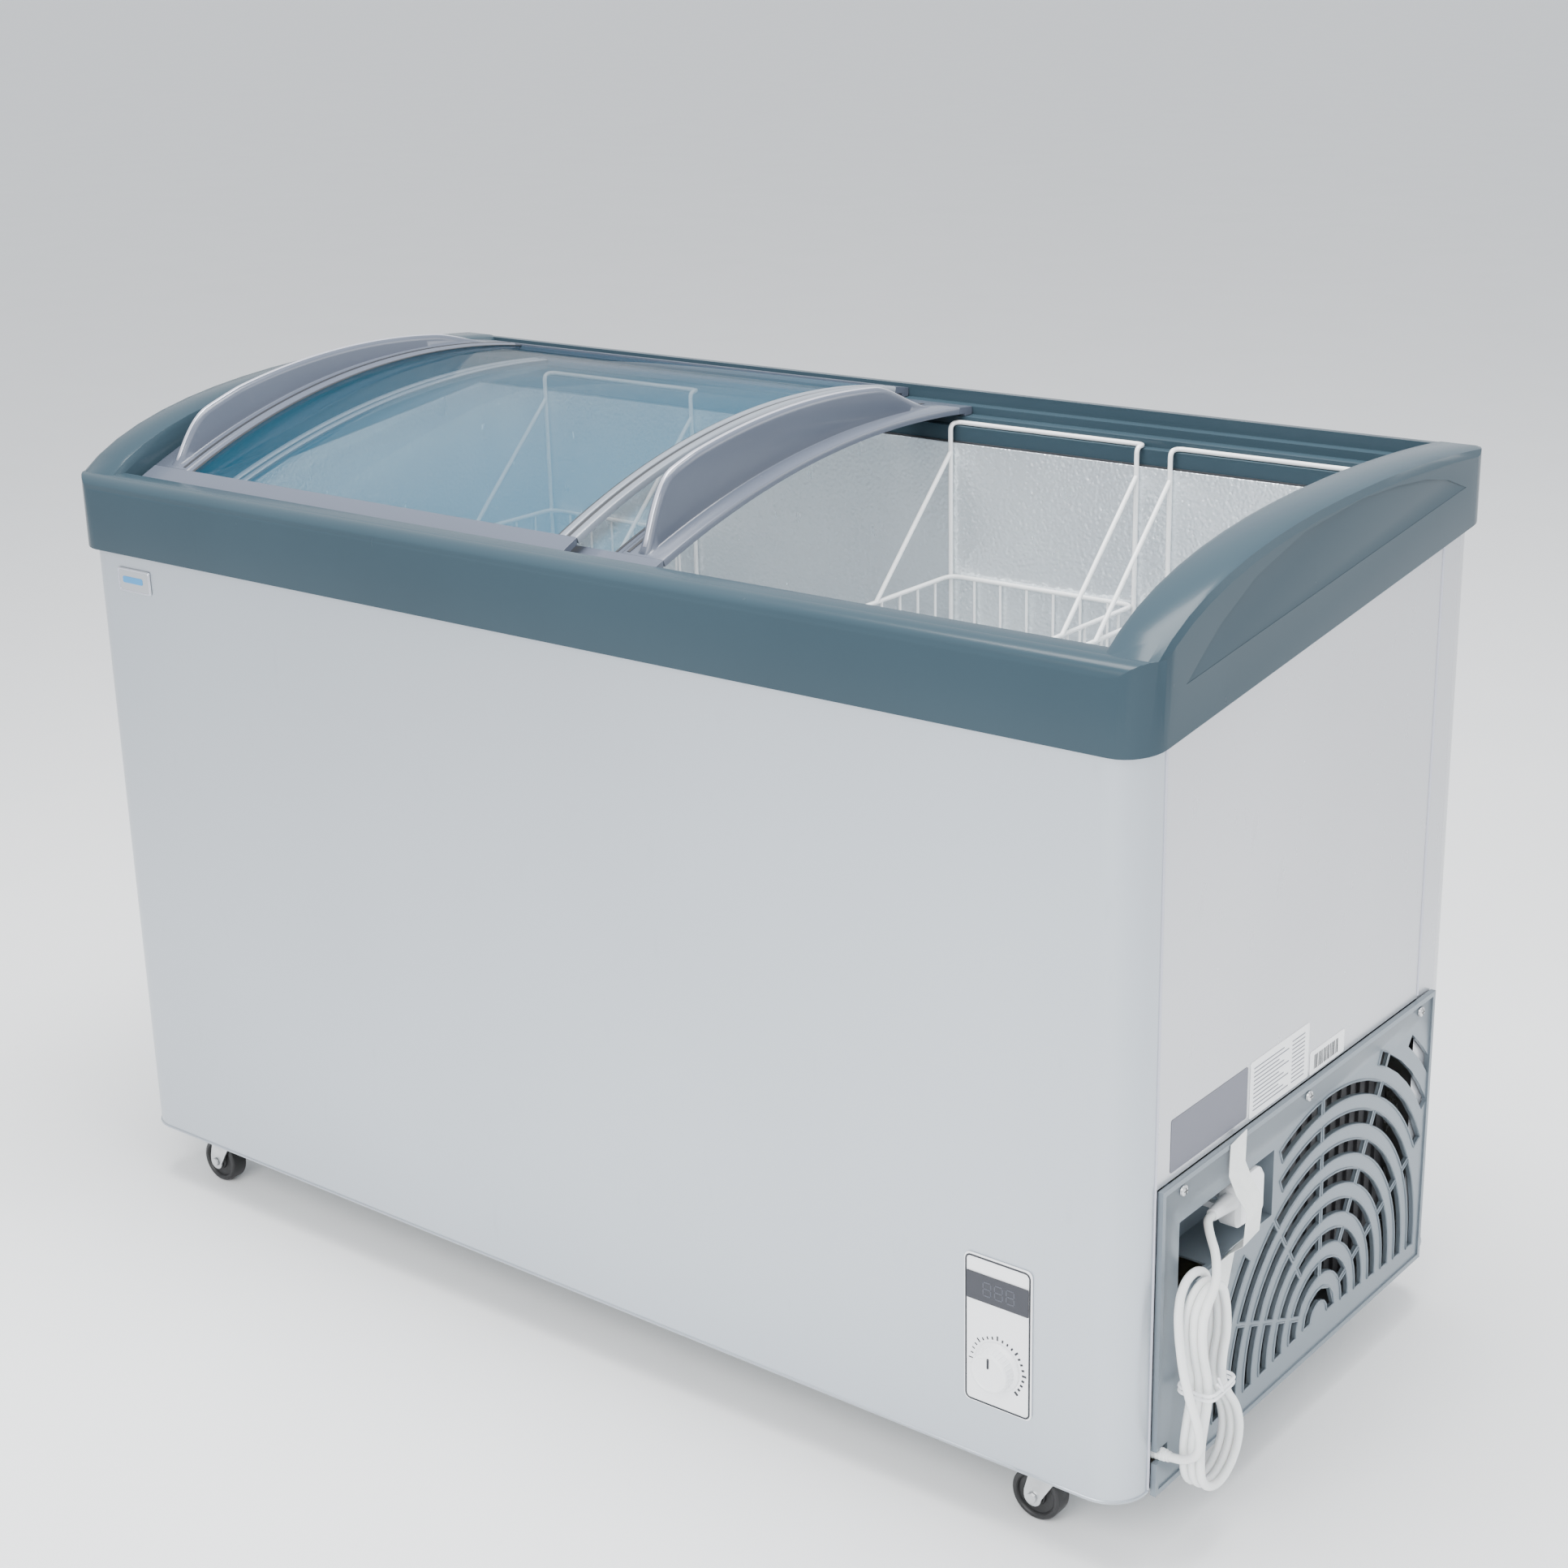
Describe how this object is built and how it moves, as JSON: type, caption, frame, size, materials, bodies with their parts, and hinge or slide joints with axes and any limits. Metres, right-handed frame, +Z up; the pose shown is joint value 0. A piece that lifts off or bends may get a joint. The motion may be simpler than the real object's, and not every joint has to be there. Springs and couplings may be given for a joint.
{
  "type": "chest freezer",
  "caption": "Commercial chest freezer on casters with curved sliding glass lids, hanging wire baskets and a vented side machine compartment.",
  "frame": {"origin": "on the floor, under the middle of the cabinet", "axes": "+X along the cabinet towards the machine compartment, -Y towards the customer side, +Z up"},
  "size_m": [1.357, 0.628, 0.9155],
  "materials": {
    "steel_skin": "satin",
    "galvanised": "satin",
    "liner_aluminium": "satin",
    "foam": "matte",
    "frame_plastic": "gloss",
    "lid_plastic": "gloss",
    "lid_glass": "polished",
    "basket_wire": "gloss",
    "grille_plastic": "satin",
    "white_plastic": "gloss",
    "display_plastic": "gloss",
    "black_iron": "satin",
    "fins": "matte",
    "black_plastic": "satin",
    "zinc": "satin",
    "badge_metal": "satin",
    "cord_pvc": "satin"
  },
  "bodies": {
    "cabinet": {"front_wrap_panel": "steel_skin", "left_side_panel": "steel_skin", "right_side_panel": "steel_skin", "rear_panel": "steel_skin", "base_pan": "galvanised", "insulation_foam": "foam", "inner_liner": "liner_aluminium", "top_frame": "frame_plastic", "machine_grille": "grille_plastic", "grille_screw_1": "zinc", "grille_screw_2": "zinc", "grille_screw_3": "zinc", "compressor": "black_iron", "condenser": "fins", "fan_shroud": "galvanised", "fan_motor": "galvanised", "control_plate": "white_plastic", "display_window": "display_plastic", "badge_plate": "badge_metal", "cord_gland": "cord_pvc", "cord_from_gland": "cord_pvc", "cord_hank": "cord_pvc", "cord_to_plug": "cord_pvc", "power_plug": "white_plastic", "caster_front_left_plate": "zinc", "caster_front_right_plate": "zinc", "caster_rear_left_plate": "zinc", "caster_rear_right_plate": "zinc"},
    "left_lid": {"left_lid_front_strip": "lid_plastic", "left_lid_rear_strip": "lid_plastic", "left_lid_handle_frame": "lid_plastic", "left_lid_trim": "lid_plastic", "left_lid_glass": "lid_glass"},
    "right_lid": {"right_lid_front_strip": "lid_plastic", "right_lid_rear_strip": "lid_plastic", "right_lid_handle_frame": "lid_plastic", "right_lid_trim": "lid_plastic", "right_lid_glass": "lid_glass"},
    "knob": {"thermostat_knob": "white_plastic"},
    "fan": {"fan_blade": "black_plastic"},
    "left_basket": {"basket_left": "basket_wire"},
    "middle_basket": {"basket_middle": "basket_wire"},
    "right_basket": {"basket_right": "basket_wire"},
    "caster_front_left_swivel": {"caster_front_left_fork": "zinc", "caster_front_left_axle": "zinc"},
    "caster_front_left_roller": {"caster_front_left_wheel": "black_plastic"},
    "caster_front_right_swivel": {"caster_front_right_fork": "zinc", "caster_front_right_axle": "zinc"},
    "caster_front_right_roller": {"caster_front_right_wheel": "black_plastic"},
    "caster_rear_left_swivel": {"caster_rear_left_fork": "zinc", "caster_rear_left_axle": "zinc"},
    "caster_rear_left_roller": {"caster_rear_left_wheel": "black_plastic"},
    "caster_rear_right_swivel": {"caster_rear_right_fork": "zinc", "caster_rear_right_axle": "zinc"},
    "caster_rear_right_roller": {"caster_rear_right_wheel": "black_plastic"}
  },
  "joints": [
    {"name": "left_lid_slide", "type": "slide", "parent": "cabinet", "child": "left_lid", "axis": [1, 0, 0], "range_m": [0, 0.055]},
    {"name": "right_lid_slide", "type": "slide", "parent": "cabinet", "child": "right_lid", "axis": [1, 0, 0], "range_m": [0, 0.5]},
    {"name": "knob_turn", "type": "hinge", "parent": "cabinet", "child": "knob", "pos_m": [0.522, -0.3, 0.165], "axis": [0, -1, 0], "range_deg": [-135, 135]},
    {"name": "fan_spin", "type": "hinge", "parent": "cabinet", "child": "fan", "pos_m": [0.53, 0.111, 0.198], "axis": [1, 0, 0], "continuous": true},
    {"name": "left_basket_slide", "type": "slide", "parent": "cabinet", "child": "left_basket", "axis": [1, 0, 0], "range_m": [-0.1, 0.16]},
    {"name": "middle_basket_slide", "type": "slide", "parent": "cabinet", "child": "middle_basket", "axis": [1, 0, 0], "range_m": [-0.17, 0.014]},
    {"name": "right_basket_slide", "type": "slide", "parent": "cabinet", "child": "right_basket", "axis": [1, 0, 0], "range_m": [-0.014, 0.004]},
    {"name": "caster_front_left_turn", "type": "hinge", "parent": "cabinet", "child": "caster_front_left_swivel", "pos_m": [-0.555, -0.256, 0.058], "axis": [0, 0, 1], "continuous": true},
    {"name": "caster_front_left_roll", "type": "hinge", "parent": "caster_front_left_swivel", "child": "caster_front_left_roller", "pos_m": [-0.569, -0.256, 0.025], "axis": [0, 1, 0], "continuous": true},
    {"name": "caster_front_right_turn", "type": "hinge", "parent": "cabinet", "child": "caster_front_right_swivel", "pos_m": [0.555, -0.256, 0.058], "axis": [0, 0, 1], "continuous": true},
    {"name": "caster_front_right_roll", "type": "hinge", "parent": "caster_front_right_swivel", "child": "caster_front_right_roller", "pos_m": [0.541, -0.256, 0.025], "axis": [0, 1, 0], "continuous": true},
    {"name": "caster_rear_left_turn", "type": "hinge", "parent": "cabinet", "child": "caster_rear_left_swivel", "pos_m": [-0.555, 0.268, 0.058], "axis": [0, 0, 1], "continuous": true},
    {"name": "caster_rear_left_roll", "type": "hinge", "parent": "caster_rear_left_swivel", "child": "caster_rear_left_roller", "pos_m": [-0.569, 0.268, 0.025], "axis": [0, 1, 0], "continuous": true},
    {"name": "caster_rear_right_turn", "type": "hinge", "parent": "cabinet", "child": "caster_rear_right_swivel", "pos_m": [0.555, 0.268, 0.058], "axis": [0, 0, 1], "continuous": true},
    {"name": "caster_rear_right_roll", "type": "hinge", "parent": "caster_rear_right_swivel", "child": "caster_rear_right_roller", "pos_m": [0.541, 0.268, 0.025], "axis": [0, 1, 0], "continuous": true}
  ]
}
